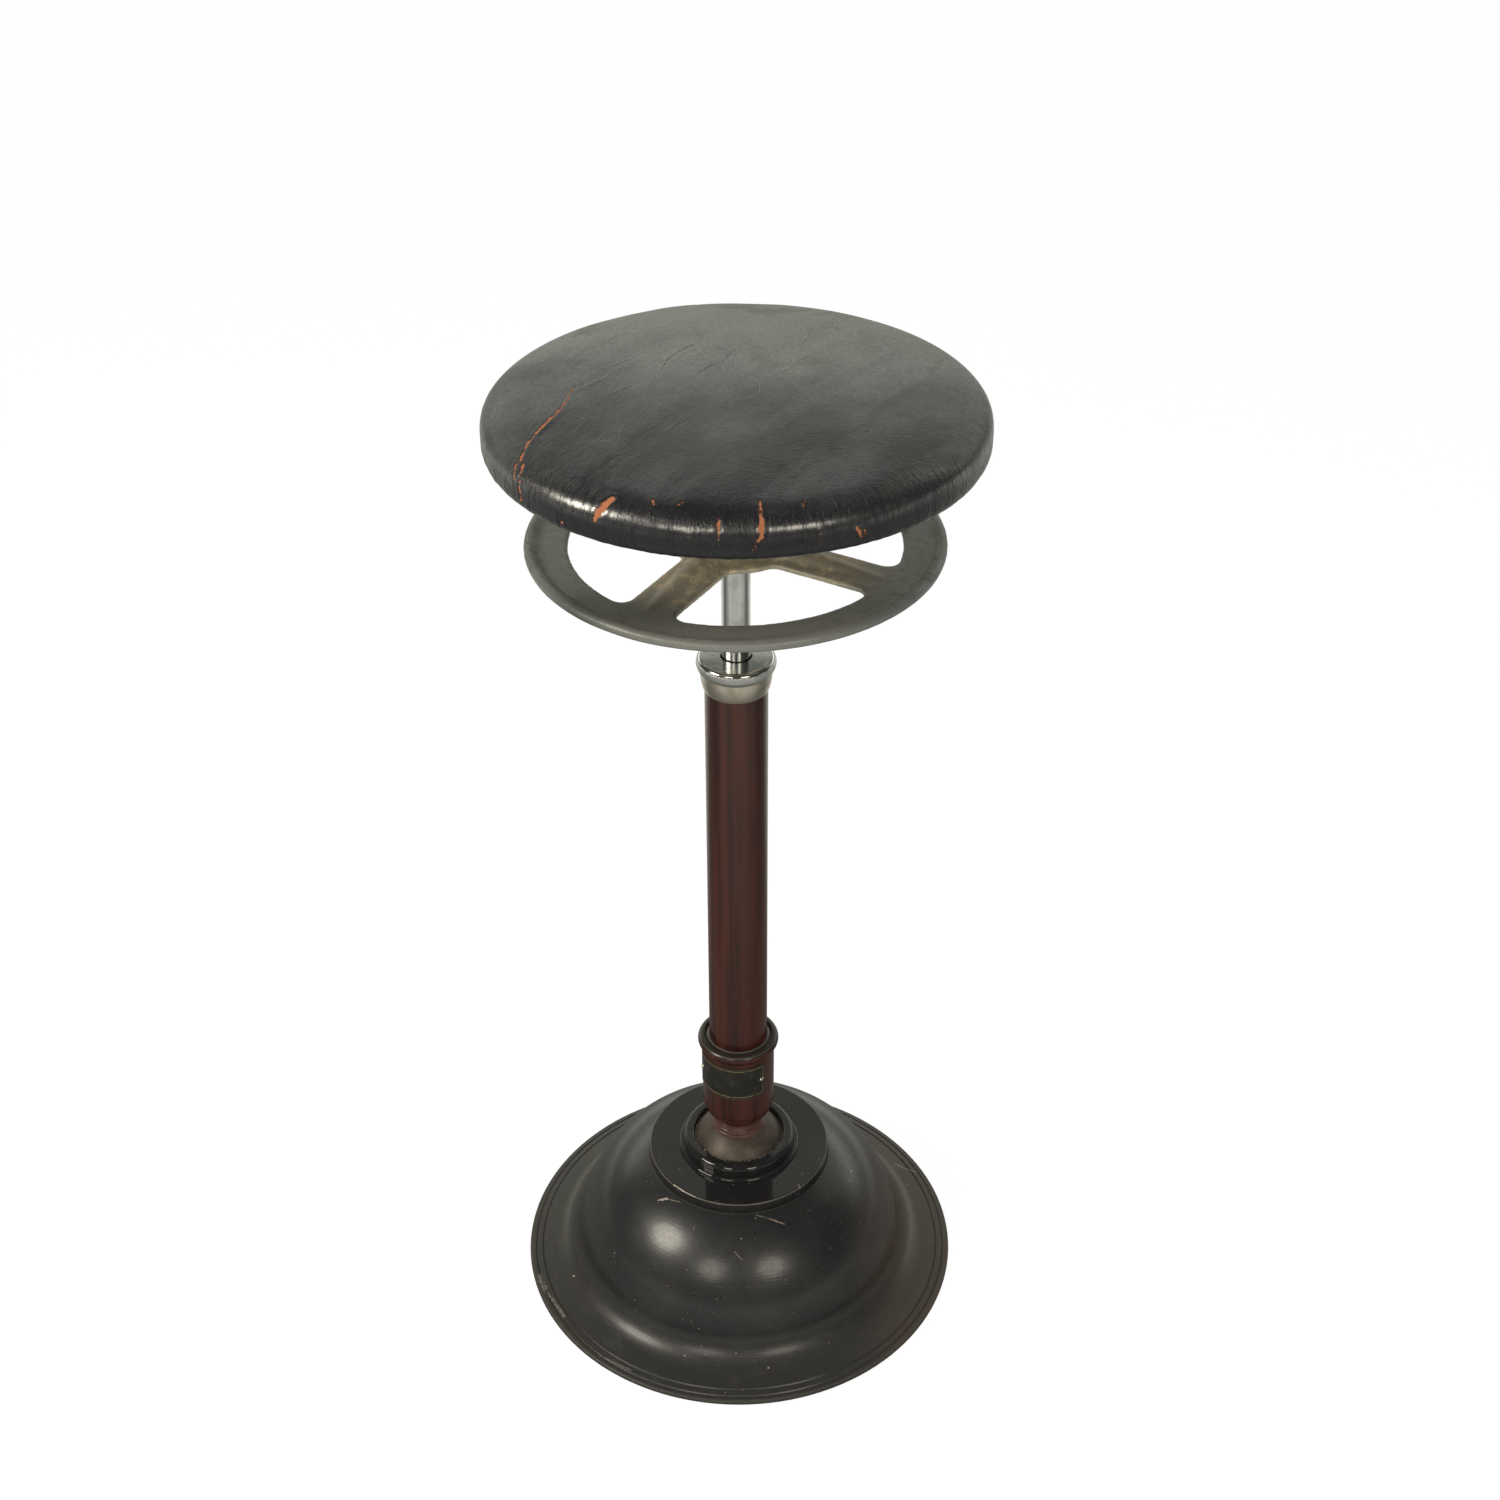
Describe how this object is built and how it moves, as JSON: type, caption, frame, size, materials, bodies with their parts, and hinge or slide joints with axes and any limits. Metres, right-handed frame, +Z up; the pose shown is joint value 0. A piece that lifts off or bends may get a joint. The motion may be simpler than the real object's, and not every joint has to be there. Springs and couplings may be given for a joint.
{
  "type": "dental stool",
  "caption": "Tall round leather stool on a bell base: tilting ball-joint column, screw spindle raised by a spoked hand wheel, knurled clamp collar and swivelling seat.",
  "frame": {"origin": "centre of the foot's circle on the floor", "axes": "+Z up along the column; -Y towards the picture's viewer; +X to that viewer's right"},
  "size_m": [0.3468, 0.3468, 0.7709],
  "materials": {
    "black_paint": "satin black japanned iron, worn brown in places",
    "felt": "dark pressed felt",
    "raw_iron": "black painted casting",
    "steel": "dull steel",
    "gloss_paint": "gloss black enamel, chipped at the edge",
    "liner_leather": "oiled friction leather",
    "mahogany_paint": "grained dark mahogany enamel, gloss",
    "plate": "black plate with a fine gilt border, no wording",
    "nickel": "worn nickel plate",
    "bronze": "machined bronze",
    "wheel_metal": "dull worn nickel plate on a casting, brassy near the hub",
    "board_wood": "bare board",
    "padding": "curled hair under scrim",
    "black_leather": "black hide, glossy at the shoulder, cracked to tan",
    "tack_iron": "blued iron"
  },
  "bodies": {
    "base": {"base_bell": "black_paint", "floor_ring": "felt", "ball_cup": "raw_iron", "cup_bolts": "steel", "cover_disc": "gloss_paint", "retainer_ring": "gloss_paint"},
    "liner": {"ball_liner": "liner_leather"},
    "column": {"column_socket": "mahogany_paint", "socket_plate": "plate", "plate_pins": "nickel", "drawbolt": "steel", "spring_washer": "steel", "drawbolt_nut": "steel", "cotter_pin": "steel", "draw_spring": "steel", "column_tube": "mahogany_paint", "spindle_nut": "bronze", "guide_bush": "bronze", "ferrule": "nickel", "collet": "bronze"},
    "collar": {"knurled_collar": "nickel"},
    "bearing": {"ball_cage": "bronze", "bearing_balls": "steel"},
    "spindle": {"spindle": "nickel", "stop_washer": "steel", "stop_pin": "steel", "hand_wheel": "wheel_metal", "wheel_pin": "steel", "lower_race": "steel", "top_washer": "steel", "top_nut": "steel"},
    "seat": {"upper_race": "steel", "seat_plate": "raw_iron", "seat_screws": "steel", "seat_board": "board_wood", "seat_padding": "padding", "seat_leather": "black_leather", "seat_tacks": "tack_iron"}
  },
  "joints": [
    {"name": "tilt_side", "type": "hinge", "parent": "base", "child": "liner", "pos_m": [0, 0, 0.099], "axis": [0, 1, 0], "range_deg": [-8, 8], "stiffness_Nm_per_rad": 120, "deforming": ["draw_spring"]},
    {"name": "tilt_forward", "type": "hinge", "parent": "liner", "child": "column", "pos_m": [0, 0, 0.099], "axis": [1, 0, 0], "range_deg": [-8, 8], "stiffness_Nm_per_rad": 120, "deforming": ["draw_spring"]},
    {"name": "collar_turn", "type": "hinge", "parent": "column", "child": "collar", "pos_m": [0, 0, 0.565], "axis": [0, 0, 1], "range_deg": [0, 90]},
    {"name": "height", "type": "slide", "parent": "column", "child": "bearing", "axis": [0, 0, 1], "range_m": [-0.075, 0.09]},
    {"name": "wheel_turn", "type": "hinge", "parent": "bearing", "child": "spindle", "pos_m": [0, 0, 0.66], "axis": [0, 0, 1], "range_deg": [-2700, 3240]},
    {"name": "seat_swivel", "type": "hinge", "parent": "bearing", "child": "seat", "pos_m": [0, 0, 0.735], "axis": [0, 0, 1], "continuous": true}
  ],
  "couplings": [
    {"joint": "height", "follows": "wheel_turn", "m_per_rad": 0.0015915}
  ]
}
